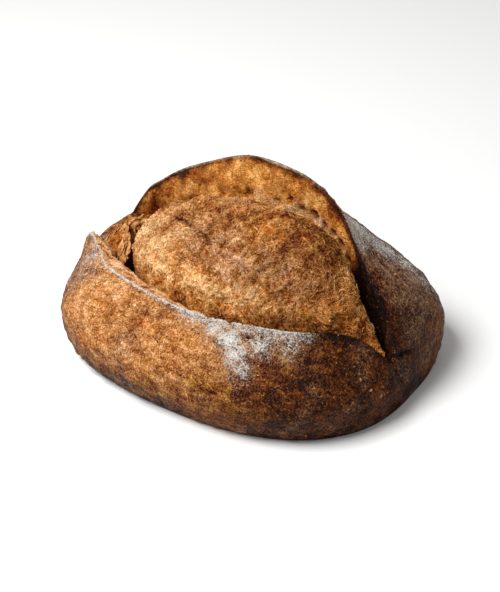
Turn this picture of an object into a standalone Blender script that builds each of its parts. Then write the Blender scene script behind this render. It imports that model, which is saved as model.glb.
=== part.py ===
"""Whole wheat hearth loaf with one long score, as it comes out of the oven.

The loaf is one solid made of rounded forms, each a sphere drawn out along X and
shaped by named sizes:

    crust   the outer loaf: flat underneath, split along the top by the opened score,
            whose back edge is drawn up into a tall ear
    bloom   the inner dough that swelled up through the score
    flaps   the torn leaves of dough at the left end of the score

Metres, +Z up. X runs along the loaf, +Y is the side with the ear, and the origin
is the middle of the footprint on the table.
"""

from math import acos, asin, atan2, cos, exp, pi, sin

import bmesh
import bpy
from mathutils import Euler, Matrix, Vector, noise

MM = 0.001

# The outer loaf
LOAF_LENGTH = 243 * MM
LOAF_WIDTH = 176 * MM
PLAN_LEFT = 3.45  # fullness of the plan outline: 2 is an ellipse, more is blunter
PLAN_RIGHT = 3.0
BELLY_HEIGHT = 31 * MM  # level of the widest part
CROWN_HEIGHT = 95 * MM  # top of the back crust, without the ear
CROWN_RIGHT = 2.4  # how long the crown keeps its height towards the right end
CROWN_LEFT = 1.45  # it falls off sooner towards the left end,
LEFT_WALL = 0.46  # which still stands up at this share of the rise
LEFT_BLUNTNESS = 8
FRONT_SLUMP = 0.44  # share of its rise that the front crust lacks
SPINE_MIDDLE = -3 * MM  # the loaf's long axis is bowed towards -Y
SPINE_END = 15 * MM
UNDERSIDE_TUCK = 2.1  # how fast the crust turns in under the belly
END_TUCK_LEFT = 0.015  # share of the length that each end loses under the belly
END_TUCK_RIGHT = 0.022

# The opened score, in millimetres at these places from its left tip to its right tip
CUT_X = [-113, -101, -95, -88, -80, -66, -42, -12, 18, 42, 60, 76, 92, 105, 115]
CREST_Y = [-6, 8, 14, 22, 26, 29, 32, 33, 31, 28, 24, 17, 7, 1, -5]
EAR_LIFT = [-2, -9, 3, 14, 17, 21.5, 26.5, 34, 34.5, 31, 21.5, 8, 1, 0, 0]
RIM_Y = [-12, -21, -26, -31, -37, -43, -50, -54, -53, -47, -41, -32, -22, -15, -10]
RIM_LIFT = [10, 8, 5, 2, 0, 0, 0, 0, 0, 0, 0, 0, 0, 0, 0]
TROUGH_DROP = [0, 3, 5, 11, 28, 32, 34, 34, 34, 34, 32, 28, 22, 12, 0]
LIP_STRIP = [0, 4, 6, 8, 10, 10, 6, 2, 0, 0, 0, 0, 0, 0, 0]  # width of the torn strip inside the rim
STRIP_FALL = 0.10
CREST_REACH = 21 * MM  # the ear fades into the back crust over this distance
RIM_REACH = 9 * MM  # and the raised lip of the front crust over this one
EAR_LEAN = 0.20  # how far the ear's inner face leans back, per unit of height
EAR_HOLLOW = 2.5 * MM  # and how much it is dished,
HOLLOW_WIDTH = 40 * MM  # where the score is at least this wide
HOLLOW_DEPTH = 15 * MM  # and at least this deep
LIP_LEAN = 0.45  # the front lip's inner face, the other way
NARROWEST = 5 * MM  # the score's two edges never come closer than this

# The bloom
BLOOM_LEFT = -80 * MM
BLOOM_RIGHT = 111 * MM
BLOOM_BASE = 40 * MM
BLOOM_TOP = [50, 60, 66, 80, 90, 98, 103, 106, 109, 111, 110, 101, 84, 62, 45]
BLOOM_FULLNESS = 2.7
BLOOM_SKEW = 11 * MM  # its ridge lies this far behind its middle
BLOOM_GAP = 6 * MM  # between its back and the ear, at most,
GAP_SHARE = 0.06  # and as a share of the score's width,
CREVICE = 2.5 * MM  # but this wide where the score closes,
CREVICE_FROM = 66 * MM  # which it starts to do here
CREVICE_TO = 92 * MM
LIP_OVERLAP = 1.5 * MM  # its front reaches this far into the front crust
CRAG_HEIGHT = 3.2 * MM
CRAG_LENGTH = 24 * MM

# The torn flaps, in millimetres: middle, length by width by thickness, and tilt in degrees
FLAPS = [
    ((-105, 0, 49), (12, 22, 3.5), (8, -34, 6)),
    ((-99, -3, 50), (12, 30, 3.5), (10, -34, 14)),
    ((-92, -6, 51), (13, 34, 3.5), (12, -34, 22)),
    ((-85, -12, 51), (12, 34, 3.5), (10, -32, 28)),
    ((-86, 10, 58), (22, 18, 8), (-20, 14, -30)),
]
FLAP_CURL = 1.5
FLAP_TATTER = 0.4
FLAP_POINTS = 10  # round each flap
FLAP_RINGS = 6

# Points round one cross-section of the crust, counted from the middle of the underside
UNDERSIDE_STEPS = 3
TUCK_STEPS = 5
BACK_STEPS = 17
WALL_STEPS = 7
TROUGH_STEPS = 3
LIP_STEPS = 4
FRONT_STEPS = 16
SECTION_STEPS = 2 * (UNDERSIDE_STEPS + TUCK_STEPS) + BACK_STEPS + WALL_STEPS
SECTION_STEPS += TROUGH_STEPS + LIP_STEPS + FRONT_STEPS
CRUST_RINGS = 66
RING_EVENNESS = 0.4  # 0 sets the rings as on a sphere, 1 evenly along the loaf
RING_GATHERING = 1.4  # above 1 draws them towards the ends
SHARP_ANGLE = 0.9  # radians


def superellipse(t, power):
    """Half-width, from 1 in the middle to 0 at t = -1 and 1."""
    return max(0.0, 1 - abs(t) ** power) ** (1 / power)


def smooth_step(value):
    value = min(1.0, max(0.0, value))
    return value * value * (3 - 2 * value)


def mix(start, end, share):
    return start + (end - start) * share


def signed_power(value, power):
    return abs(value) ** power * (1 if value >= 0 else -1)


def along_cut(values, x):
    """A smooth curve through values at the places CUT_X, all in millimetres; returns metres."""
    x = min(max(x / MM, CUT_X[0]), CUT_X[-1])
    last = len(CUT_X) - 1
    i = max(k for k in range(last) if CUT_X[k] <= x)

    def slope(k):
        low, high = max(k - 1, 0), min(k + 1, last)
        return (values[high] - values[low]) / (CUT_X[high] - CUT_X[low])

    span = CUT_X[i + 1] - CUT_X[i]
    u = (x - CUT_X[i]) / span
    bend_start = slope(i) * span
    bend_end = slope(i + 1) * span
    rise = values[i + 1] - values[i]
    cubic = bend_start * u + (3 * rise - 2 * bend_start - bend_end) * u**2
    cubic += (bend_start + bend_end - 2 * rise) * u**3
    return (values[i] + cubic) * MM


def long_sphere(name, segments, rings):
    """A unit sphere whose poles lie on X, so that its rings are cross-sections."""
    bm = bmesh.new()
    bmesh.ops.create_uvsphere(
        bm, u_segments=segments, v_segments=rings, radius=1,
        matrix=Matrix.Rotation(pi / 2, 4, "Y"),
    )
    mesh = bpy.data.meshes.new(name)
    bm.to_mesh(mesh)
    bm.free()
    mesh.shade_smooth()
    obj = bpy.data.objects.new(name, mesh)
    bpy.context.scene.collection.objects.link(obj)
    return obj


def spine(x):
    """Y of the loaf's bowed long axis."""
    return SPINE_MIDDLE + (SPINE_END - SPINE_MIDDLE) * (2 * x / LOAF_LENGTH) ** 2


def half_width(x):
    fullness = PLAN_LEFT if x < 0 else PLAN_RIGHT
    return LOAF_WIDTH / 2 * superellipse(2 * x / LOAF_LENGTH, fullness)


def crust_point(x, angle):
    """(y, z) on the plain loaf at x, where angle runs from the back over the top to the front."""
    t = 2 * x / LOAF_LENGTH
    height = superellipse(t, CROWN_RIGHT)
    slump = FRONT_SLUMP * smooth_step(-cos(angle) / 0.58)
    if t < 0:
        height = LEFT_WALL * superellipse(t, LEFT_BLUNTNESS)
        height += (1 - LEFT_WALL) * max(0.0, 1 - t * t) ** CROWN_LEFT
        slump *= 1 - t * t
    belly = BELLY_HEIGHT * (0.5 + 0.5 * superellipse(t, CROWN_RIGHT))
    y = spine(x) + half_width(x) * cos(angle)
    if sin(angle) < 0:
        return y, max(0.0, belly * (1 + UNDERSIDE_TUCK * sin(angle)))
    return y, belly + (CROWN_HEIGHT - BELLY_HEIGHT) * height * (1 - slump) * sin(angle)


def crown_angle(x, y):
    """The angle at which the plain loaf's top passes over (x, y)."""
    across = (y - spine(x)) / max(half_width(x), MM)
    return acos(min(0.85, max(-0.85, across)))


def score_edges(x):
    """Y of the crest and of the rim."""
    crest, rim = along_cut(CREST_Y, x), along_cut(RIM_Y, x)
    spread = max(0.0, NARROWEST - (crest - rim)) / 2
    return crest + spread, rim - spread


def back_crust(x, share):
    """(y, z) on the back of the loaf, from the belly, share 0, to the ear's crest, share 1."""
    crest_angle = crown_angle(x, score_edges(x)[0])
    gathered = share + 0.12 * sin(pi * share)
    y, z = crust_point(x, crest_angle * gathered)
    behind = y - crust_point(x, crest_angle)[0]
    fade = smooth_step(2 * share)
    return y, z + along_cut(EAR_LIFT, x) * exp(-behind / CREST_REACH) * fade


def front_crust(x, share):
    """(y, z) on the front of the loaf, from the rim, share 0, to the belly, share 1."""
    rim_angle = crown_angle(x, score_edges(x)[1])
    y, z = crust_point(x, mix(rim_angle, pi, share))
    before = crust_point(x, rim_angle)[0] - y
    fade = 1 - smooth_step((share - 0.4) / 0.5)
    return y, z + along_cut(RIM_LIFT, x) * exp(-before / RIM_REACH) * fade


def trough_floor(x):
    """(opening, floor level) of the score at x."""
    crest, rim = back_crust(x, 1), front_crust(x, 0)
    return crest[0] - rim[0], min(crest[1], rim[1]) - along_cut(TROUGH_DROP, x)


def wall_point(x, share):
    """(y, z) on the ear's inner face, from the crest, share 0, to its foot, share 1."""
    crest_y, crest_z = back_crust(x, 1)
    opening, floor = trough_floor(x)
    run = max(0.12 * opening, min(0.3 * opening, EAR_LEAN * (crest_z - floor)))
    hollow = min(1, opening / HOLLOW_WIDTH, (crest_z - floor) / HOLLOW_DEPTH)
    dish = EAR_HOLLOW * hollow * sin(pi * share)
    return crest_y - run * share + dish, mix(crest_z, floor, share)


def lip_point(x, share):
    """(y, z) inside the front rim, share 0, over the torn strip, 0.5, to the floor, share 1."""
    rim_y, rim_z = front_crust(x, 0)
    opening, floor = trough_floor(x)
    strip = max(0.06 * opening, min(0.45 * opening, along_cut(LIP_STRIP, x)))
    strip_z = max(floor, rim_z - STRIP_FALL * strip)
    if share <= 0.5:
        return rim_y + strip * 2 * share, mix(rim_z, strip_z, 2 * share)
    run = max(0.06 * opening, min(0.2 * opening, LIP_LEAN * (strip_z - floor)))
    return rim_y + strip + run * (2 * share - 1), mix(strip_z, floor, 2 * share - 1)


def section_point(x, step):
    """(y, z) of point number step round the crust's cross-section at x."""
    tuck = asin(1 / UNDERSIDE_TUCK)
    back_foot, front_foot = crust_point(x, -tuck)[0], crust_point(x, pi + tuck)[0]
    wall_foot, lip_foot = wall_point(x, 1), lip_point(x, 1)
    spans = (
        (UNDERSIDE_STEPS, lambda share: (mix(spine(x), back_foot, share), 0.0)),
        (TUCK_STEPS, lambda share: crust_point(x, mix(-tuck, 0, share))),
        (BACK_STEPS, lambda share: back_crust(x, share)),
        (WALL_STEPS, lambda share: wall_point(x, share)),
        (TROUGH_STEPS, lambda share: (mix(wall_foot[0], lip_foot[0], share), wall_foot[1])),
        (LIP_STEPS, lambda share: lip_point(x, 1 - share)),
        (FRONT_STEPS, lambda share: front_crust(x, share)),
        (TUCK_STEPS, lambda share: crust_point(x, mix(pi, pi + tuck, share))),
        (UNDERSIDE_STEPS, lambda share: (mix(front_foot, spine(x), share), 0.0)),
    )
    for steps, point in spans:
        if step < steps:
            return point(step / steps)
        step -= steps


def ring_place(t):
    """Where along the loaf, from -1 to 1, the sphere's ring at t goes."""
    even = 1 - 2 * acos(min(1.0, max(-1.0, t))) / pi
    inwards = 1 - abs(mix(t, even, RING_EVENNESS))
    return (1 - inwards**RING_GATHERING) * (1 if t > 0 else -1)


def make_crust():
    crust = long_sphere("loaf", SECTION_STEPS, CRUST_RINGS)
    for vertex in crust.data.vertices:
        t, back, up = vertex.co
        x = LOAF_LENGTH / 2 * ring_place(t)
        if back * back + up * up < 1e-9:  # a pole
            vertex.co = (x, spine(x), BELLY_HEIGHT / 2)
            continue
        step = round(atan2(up, back) / (2 * pi) * SECTION_STEPS + SECTION_STEPS / 4 + 0.25)
        y, z = section_point(x, step % SECTION_STEPS)
        under = max(0.0, 1 - z / BELLY_HEIGHT)
        tuck = END_TUCK_LEFT if x < 0 else END_TUCK_RIGHT
        vertex.co = (x * (1 - tuck * under**2), y, z)
    return crust


def make_bloom():
    bloom = long_sphere("bloom", 46, 36)
    for vertex in bloom.data.vertices:
        t, back, up = vertex.co
        x = mix(BLOOM_LEFT, BLOOM_RIGHT, (t + 1) / 2)
        radius = max(1e-6, (back * back + up * up) ** 0.5)
        size = superellipse(t, BLOOM_FULLNESS)
        across, level = back / radius, signed_power(up / radius, 0.9)
        crest, rim = score_edges(x)
        closing = smooth_step((x - CREVICE_FROM) / (CREVICE_TO - CREVICE_FROM))
        back_edge = crest - min(BLOOM_GAP, mix(GAP_SHARE * (crest - rim), CREVICE, closing))
        front_edge = rim - LIP_OVERLAP + 1.25 * along_cut(LIP_STRIP, x)
        y = (back_edge + front_edge) / 2 + across * size * (back_edge - front_edge) / 2
        rise = max(0.0, level) * size
        y += BLOOM_SKEW * rise * rise * (back_edge - front_edge) / (80 * MM)
        if level > 0:
            z = BLOOM_BASE + rise * (along_cut(BLOOM_TOP, x) - BLOOM_BASE)
        else:
            z = BLOOM_BASE + level * size * 15 * MM
        crag = noise.noise(Vector((x, y, z)) / CRAG_LENGTH)
        vertex.co = (x, y, z + CRAG_HEIGHT * crag * rise)
    return bloom


def make_flap(centre, size, tilt):
    """One torn leaf of dough: a sphere pressed flat and curled along its length."""
    flap = long_sphere("flap", FLAP_POINTS, FLAP_RINGS)
    turn = Euler([angle * pi / 180 for angle in tilt]).to_matrix()
    for vertex in flap.data.vertices:
        t, back, up = vertex.co
        curled = Vector((t * size[0] / 2, back * size[1] / 2, up * size[2] / 2 + FLAP_CURL * t * t))
        curled.z += FLAP_CURL * back * back
        curled *= 1 + FLAP_TATTER * noise.noise(curled * 0.25 + Vector(centre))
        vertex.co = turn @ (curled * MM) + Vector(centre) * MM
    return flap


def combine(target, other, operation):
    """Applies a Boolean of other to target and removes other."""
    modifier = target.modifiers.new(operation.title(), "BOOLEAN")
    modifier.operation = operation
    modifier.object = other
    graph = bpy.context.evaluated_depsgraph_get()
    mesh = bpy.data.meshes.new_from_object(target.evaluated_get(graph))
    target.modifiers.clear()
    target.data = mesh
    bpy.data.objects.remove(other)


def centre_footprint(obj):
    """Moves the mesh so that the origin is the middle of its box, seen from above."""
    xs = [vertex.co.x for vertex in obj.data.vertices]
    ys = [vertex.co.y for vertex in obj.data.vertices]
    middle = Vector((min(xs) + max(xs), min(ys) + max(ys), 0)) / 2
    obj.data.transform(Matrix.Translation(-middle))


def crust_material():
    material = bpy.data.materials.new("whole wheat crust")
    material.use_nodes = True
    shader = material.node_tree.nodes["Principled BSDF"]
    shader.inputs["Base Color"].default_value = (0.33, 0.13, 0.04, 1)
    shader.inputs["Roughness"].default_value = 0.75
    return material


for old in list(bpy.data.objects):
    bpy.data.objects.remove(old)
loaf = make_crust()
combine(loaf, make_bloom(), "UNION")
for centre, size, tilt in FLAPS:
    combine(loaf, make_flap(centre, size, tilt), "UNION")
centre_footprint(loaf)
loaf.data.materials.clear()
loaf.data.materials.append(crust_material())
loaf.data.set_sharp_from_angle(angle=SHARP_ANGLE)
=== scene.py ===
# %% [markdown]
# # A whole wheat hearth loaf
# This lesson dresses a plain solid loaf, so that it looks like one that has just come
# out of the oven. The solid gives the size and the main forms: a flat underside, a
# long opened score with a tall ear of crust behind it, and the inner dough that
# swelled up through the score, which bakers call the bloom.
# The pieces here are made again at a fine grain from the same sizes, because a crust
# lives from forms that are smaller than the solid's faces.

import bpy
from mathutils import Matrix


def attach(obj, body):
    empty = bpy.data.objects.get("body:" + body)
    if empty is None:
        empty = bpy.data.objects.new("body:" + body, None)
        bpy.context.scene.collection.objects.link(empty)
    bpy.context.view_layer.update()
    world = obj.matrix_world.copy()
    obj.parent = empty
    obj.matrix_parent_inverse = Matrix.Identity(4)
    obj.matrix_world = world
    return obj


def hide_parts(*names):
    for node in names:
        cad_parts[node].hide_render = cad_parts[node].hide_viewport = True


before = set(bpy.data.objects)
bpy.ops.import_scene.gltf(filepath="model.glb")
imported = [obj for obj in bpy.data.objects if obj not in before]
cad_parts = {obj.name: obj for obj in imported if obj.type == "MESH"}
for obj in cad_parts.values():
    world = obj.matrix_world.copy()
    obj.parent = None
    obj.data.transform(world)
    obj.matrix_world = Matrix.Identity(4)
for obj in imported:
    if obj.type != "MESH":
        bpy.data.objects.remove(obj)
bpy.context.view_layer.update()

# %% Tools of the lesson
from functools import cache
from math import acos, asin, atan2, cos, exp, pi, radians, sin
from random import Random

import bmesh
import bpy
from mathutils import Euler, Matrix, Vector, noise

MM = 0.001
UP = Vector((0, 0, 1))
noise.seed_set(11)  # or the curls of the torn dough would differ from run to run

# %% [markdown]
# ## Small helpers
# Every form below is a rule that turns a place along the loaf into a height or a
# width. A few helpers do most of that work: a soft step from 0 to 1, a soft bell, a
# mix of two values, and a rounded outline that can be anything from an ellipse to
# nearly a box.

# %% Helpers for rules
def clamp(value):
    return min(1.0, max(0.0, value))


def smooth_step(value, low=0.0, high=1.0):
    value = clamp((value - low) / (high - low))
    return value * value * (3 - 2 * value)


def rising(value, low, high):
    """0 below low and 1 above high, softly; both are in millimetres."""
    return smooth_step(value, low * MM, high * MM)


def falling(value, low, high):
    """The other way round: 1 below low and 0 above high."""
    return 1 - rising(value, low, high)


def bell(value, width):
    """1 where the value is 0, and nearly 0 at twice the width, which is in millimetres."""
    return exp(-((value / (width * MM)) ** 2))


def mix(start, end, share):
    return start + (end - start) * share


def superellipse(t, power):
    """Half-width, from 1 in the middle to 0 at t = -1 and 1."""
    return max(0.0, 1 - abs(t) ** power) ** (1 / power)


def signed_power(value, power):
    return abs(value) ** power * (1 if value >= 0 else -1)


print("half of an outline of fullness 3:", round(superellipse(0.5, 3), 3))

# %% [markdown]
# ## The plain loaf
# Before it is scored, a hearth loaf is a rounded cushion of dough. Its plan is a
# blunt oval, bowed a little along its length, and its cross-section is a half oval on
# a flat foot. A lump could be sculpted by hand, but a few named sizes say the same
# and can be changed later.

# %% Sizes of the plain loaf
LOAF_LENGTH = 243 * MM
LOAF_WIDTH = 176 * MM
PLAN_LEFT = 3.45  # fullness of the plan outline: 2 is an ellipse, more is blunter
PLAN_RIGHT = 3.0
BELLY_HEIGHT = 31 * MM  # level of the widest part
CROWN_HEIGHT = 95 * MM  # top of the back crust, without the ear
CROWN_RIGHT = 2.4  # how long the crown keeps its height towards the right end
CROWN_LEFT = 1.45  # it falls off sooner towards the left end,
LEFT_WALL = 0.46  # which still stands up at this share of the rise
LEFT_BLUNTNESS = 8
FRONT_SLUMP = 0.44  # share of its rise that the front crust lacks
SPINE_MIDDLE = -3 * MM
SPINE_END = 15 * MM
UNDERSIDE_TUCK = 2.1  # how fast the crust turns in under the belly
TUCK_ANGLE = asin(1 / UNDERSIDE_TUCK)
END_TUCK_LEFT = 0.015  # share of the length that each end loses under the belly
END_TUCK_RIGHT = 0.022


# %% The plain loaf's cross-section
@cache
def spine(x):
    """Y of the loaf's bowed long axis."""
    return SPINE_MIDDLE + (SPINE_END - SPINE_MIDDLE) * (2 * x / LOAF_LENGTH) ** 2


@cache
def half_width(x):
    fullness = PLAN_LEFT if x < 0 else PLAN_RIGHT
    return LOAF_WIDTH / 2 * superellipse(2 * x / LOAF_LENGTH, fullness)


@cache
def rise_and_belly(x):
    """(share of the crown's rise, level of the belly) at x."""
    t = 2 * x / LOAF_LENGTH
    rise = superellipse(t, CROWN_RIGHT)
    belly = BELLY_HEIGHT * (0.5 + 0.5 * rise)
    if t < 0:
        rise = LEFT_WALL * superellipse(t, LEFT_BLUNTNESS)
        rise += (1 - LEFT_WALL) * max(0.0, 1 - t * t) ** CROWN_LEFT
    return rise, belly


def crust_point(x, angle):
    """(y, z) on the plain loaf, where angle runs from the back over the top to the front."""
    t = 2 * x / LOAF_LENGTH
    rise, belly = rise_and_belly(x)
    slump = FRONT_SLUMP * smooth_step(-cos(angle) / 0.58)
    if t < 0:
        slump *= 1 - t * t
    y = spine(x) + half_width(x) * cos(angle)
    if sin(angle) < 0:
        return y, max(0.0, belly * (1 + UNDERSIDE_TUCK * sin(angle)))
    return y, belly + (CROWN_HEIGHT - BELLY_HEIGHT) * rise * (1 - slump) * sin(angle)


def crown_angle(x, y):
    """The angle at which the plain loaf's top passes over (x, y)."""
    across = (y - spine(x)) / max(half_width(x), MM)
    return acos(min(0.85, max(-0.85, across)))


print("the crown is", round(1000 * crust_point(0, pi / 2)[1]), "mm high")

# %% [markdown]
# ## The opened score
# A baker cuts the proved loaf once along its length, with the blade held nearly flat.
# In the oven the dough below pushes the cut open: the edge behind lifts and becomes
# the ear, and the edge in front stays low. Both edges wander, so they are given as
# values at fifteen places along the cut, with a smooth curve between them.

# %% Sizes of the score, in millimetres from its left tip to its right tip
CUT_X = [-113, -101, -95, -88, -80, -66, -42, -12, 18, 42, 60, 76, 92, 105, 115]
CUT = {
    "crest y": [-6, 8, 14, 22, 26, 29, 32, 33, 31, 28, 24, 17, 7, 1, -5],
    "ear lift": [-2, -9, 3, 14, 17, 21.5, 26.5, 34, 34.5, 31, 21.5, 8, 1, 0, 0],
    "rim y": [-12, -21, -26, -31, -37, -43, -50, -54, -53, -47, -41, -32, -22, -15, -10],
    "rim lift": [10, 8, 5, 2, 0, 0, 0, 0, 0, 0, 0, 0, 0, 0, 0],
    "trough drop": [0, 3, 5, 11, 28, 32, 34, 34, 34, 34, 32, 28, 22, 12, 0],
    "lip strip": [0, 4, 6, 8, 10, 10, 6, 2, 0, 0, 0, 0, 0, 0, 0],
    "bloom top": [50, 60, 66, 80, 90, 98, 103, 106, 109, 111, 110, 101, 84, 62, 45],
}
STRIP_FALL = 0.10  # how much the torn strip inside the rim falls, per unit of its width
CREST_REACH = 21 * MM  # the ear fades into the back crust over this distance
RIM_REACH = 9 * MM  # and the raised lip of the front crust over this one
EAR_LEAN = 0.20  # how far the ear's inner face leans back, per unit of height
EAR_HOLLOW = 2.5 * MM  # and how much it is dished,
HOLLOW_WIDTH = 40 * MM  # where the score is at least this wide
HOLLOW_DEPTH = 15 * MM  # and at least this deep
LIP_LEAN = 0.45  # the front lip's inner face, the other way
NARROWEST = 5 * MM  # the score's two edges never come closer than this


# %% A smooth curve through the score's values
@cache
def along_cut(name, x):
    """The named value of the score at x; both in metres."""
    values = CUT[name]
    x = min(max(x / MM, CUT_X[0]), CUT_X[-1])
    last = len(CUT_X) - 1
    i = max(k for k in range(last) if CUT_X[k] <= x)

    def slope(k):
        low, high = max(k - 1, 0), min(k + 1, last)
        return (values[high] - values[low]) / (CUT_X[high] - CUT_X[low])

    span = CUT_X[i + 1] - CUT_X[i]
    u = (x - CUT_X[i]) / span
    bend_start = slope(i) * span
    bend_end = slope(i + 1) * span
    rise = values[i + 1] - values[i]
    cubic = bend_start * u + (3 * rise - 2 * bend_start - bend_end) * u**2
    cubic += (bend_start + bend_end - 2 * rise) * u**3
    return (values[i] + cubic) * MM


@cache
def score_edges(x):
    """Y of the crest and of the rim."""
    crest, rim = along_cut("crest y", x), along_cut("rim y", x)
    spread = max(0.0, NARROWEST - (crest - rim)) / 2
    return crest + spread, rim - spread


print("the score is open by", round(1000 * (score_edges(0)[0] - score_edges(0)[1])), "mm")


# %% The two sides of the score
def back_crust(x, share):
    """(y, z) on the back of the loaf, from the belly, share 0, to the ear's crest, share 1."""
    crest_angle = crown_angle(x, score_edges(x)[0])
    gathered = share + 0.12 * sin(pi * share)
    y, z = crust_point(x, crest_angle * gathered)
    behind = y - crust_point(x, crest_angle)[0]
    fade = smooth_step(2 * share)
    return y, z + along_cut("ear lift", x) * exp(-behind / CREST_REACH) * fade


def front_crust(x, share):
    """(y, z) on the front of the loaf, from the rim, share 0, to the belly, share 1."""
    rim_angle = crown_angle(x, score_edges(x)[1])
    y, z = crust_point(x, mix(rim_angle, pi, share))
    before = crust_point(x, rim_angle)[0] - y
    fade = 1 - smooth_step(share, 0.4, 0.9)
    return y, z + along_cut("rim lift", x) * exp(-before / RIM_REACH) * fade


@cache
def trough(x):
    """(crest point, rim point, opening, floor level) of the score at x."""
    crest, rim = back_crust(x, 1), front_crust(x, 0)
    floor = min(crest[1], rim[1]) - along_cut("trough drop", x)
    return crest, rim, crest[0] - rim[0], floor


def wall_point(x, share):
    """(y, z) on the ear's inner face, from the crest, share 0, to its foot, share 1."""
    crest, _, opening, floor = trough(x)
    run = max(0.12 * opening, min(0.3 * opening, EAR_LEAN * (crest[1] - floor)))
    hollow = min(1, opening / HOLLOW_WIDTH, (crest[1] - floor) / HOLLOW_DEPTH)
    dish = EAR_HOLLOW * hollow * sin(pi * share)
    return crest[0] - run * share + dish, mix(crest[1], floor, share)


def lip_point(x, share):
    """(y, z) inside the front rim, share 0, over the torn strip, 0.5, to the floor, share 1."""
    _, rim, opening, floor = trough(x)
    strip = max(0.06 * opening, min(0.45 * opening, along_cut("lip strip", x)))
    strip_z = max(floor, rim[1] - STRIP_FALL * strip)
    if share <= 0.5:
        return rim[0] + strip * 2 * share, mix(rim[1], strip_z, 2 * share)
    run = max(0.06 * opening, min(0.2 * opening, LIP_LEAN * (strip_z - floor)))
    return rim[0] + strip + run * (2 * share - 1), mix(strip_z, floor, 2 * share - 1)


# %% [markdown]
# ## One cross-section, zone by zone
# The crust is a sphere whose rings become cross-sections of the loaf. Each ring is
# shared out over named zones, so that the crest and the rim always fall on a row of
# points. A remeshed copy of the solid would be quicker to write, but it would round
# off exactly the two edges that make a scored loaf.

# %% Zones of the cross-section and their steps
ZONES = [
    ("back underside", 8), ("back tuck", 16), ("back", 100), ("wall", 56), ("trough", 8),
    ("lip", 20), ("front", 104), ("front tuck", 16), ("front underside", 8),
]
STEPS = [(zone, step / count) for zone, count in ZONES for step in range(count)]
CRUST_RINGS = 270
WALL_GATHERING = 1.7  # above 1 draws the ear's rows of points towards its crest, which shows
RING_EVENNESS = 0.4  # 0 sets the rings as on a sphere, 1 evenly along the loaf
RING_GATHERING = 1.4  # above 1 draws them towards the ends
print(len(STEPS), "points round each of", CRUST_RINGS, "rings")


# %% Where one point of a zone lies
def section_point(x, zone, share):
    """(y, z) at that share of a zone of the cross-section at x."""
    if zone == "back underside":
        return mix(spine(x), crust_point(x, -TUCK_ANGLE)[0], share), 0.0
    if zone == "back tuck":
        return crust_point(x, mix(-TUCK_ANGLE, 0, share))
    if zone == "back":
        return back_crust(x, share)
    if zone == "wall":
        return wall_point(x, share**WALL_GATHERING)
    if zone == "trough":
        foot = wall_point(x, 1)
        return mix(foot[0], lip_point(x, 1)[0], share), foot[1]
    if zone == "lip":
        return lip_point(x, 1 - share)
    if zone == "front":
        return front_crust(x, share)
    if zone == "front tuck":
        return crust_point(x, mix(pi, pi + TUCK_ANGLE, share))
    return mix(crust_point(x, pi + TUCK_ANGLE)[0], spine(x), share), 0.0


def ring_place(t):
    """Where along the loaf, from -1 to 1, the sphere's ring at t goes."""
    even = 1 - 2 * acos(min(1.0, max(-1.0, t))) / pi
    inwards = 1 - abs(mix(t, even, RING_EVENNESS))
    return (1 - inwards**RING_GATHERING) * (1 if t > 0 else -1)


# %% A sphere that lies along X
def long_sphere(segments, rings):
    """A unit sphere in a bmesh, with its poles on X and its rings as cross-sections."""
    bm = bmesh.new()
    turn = Matrix.Rotation(pi / 2, 4, "Y")
    bmesh.ops.create_uvsphere(bm, u_segments=segments, v_segments=rings, radius=1, matrix=turn)
    bm.verts.index_update()
    return bm


def step_round(vertex, segments):
    """Which step of its ring a vertex of the unit sphere is, counted from straight down."""
    turn = atan2(vertex.co.z, vertex.co.y) / (2 * pi) + 0.25
    return round(turn * segments) % segments


# %% [markdown]
# ## Values that the finishes read
# A shader can't know how long a spot was in the heat, but a mesh can carry it. Each
# point stores how far it is baked, with painted shade added in crevices and pores, how
# much flour lies on it, how deep it sits in a hollow, which is painted as shade, and
# how much of a dull greyish skin it has. The finishes turn the four values into colour.

# %% Values carried by the mesh
# the bake value also carries painted shade in crevices, cracks, pores, creases and slits
CARRIED = ("bake", "flour", "pit", "veil")


def carry(bm):
    """Gives a bmesh room for the four values, and returns it."""
    for name in CARRIED:
        bm.verts.layers.float.new(name)
    return bm


def store(bm, vertex, **values):
    """Sets some of a vertex's four values, each held between 0 and 1."""
    for name, value in values.items():
        vertex[bm.verts.layers.float[name]] = clamp(value)


print("each point carries", *CARRIED)

# %% Patterns in the mesh
def grain(point, size, seed=0.0):
    """Smooth noise from about -1 to 1, with features of that size in millimetres."""
    return 1.4 * noise.noise(point / (size * MM) + Vector((seed, 1.7 * seed, 2.3 * seed)))


def ridge(point, size, seed=0.0):
    """Noise from 0 to 1 with sharp crests, for folds and cracks."""
    return 1 - min(1.0, abs(2.2 * noise.noise(point / (size * MM) + Vector((seed, -seed, 3 * seed)))))


def drawn(point, x=1.0, y=1.0, z=1.0):
    """The place to read noise at, so that its features are longer along an axis below 1."""
    return Vector((x * point.x, y * point.y, z * point.z))


def soft_spots(point, table):
    """The amount of each soft spot at a point, from rows of place, radius and amount."""
    for *place, radius, amount in table:
        yield amount * bell((point - Vector(place) * MM).length, radius)


def off_line(point, start, end):
    """(distance from the line between two places in millimetres, share of the way along it)."""
    start, end = Vector(start) * MM, Vector(end) * MM
    along = end - start
    share = clamp((point - start).dot(along) / along.length_squared)
    return (point - start - along * share).length, share
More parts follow.
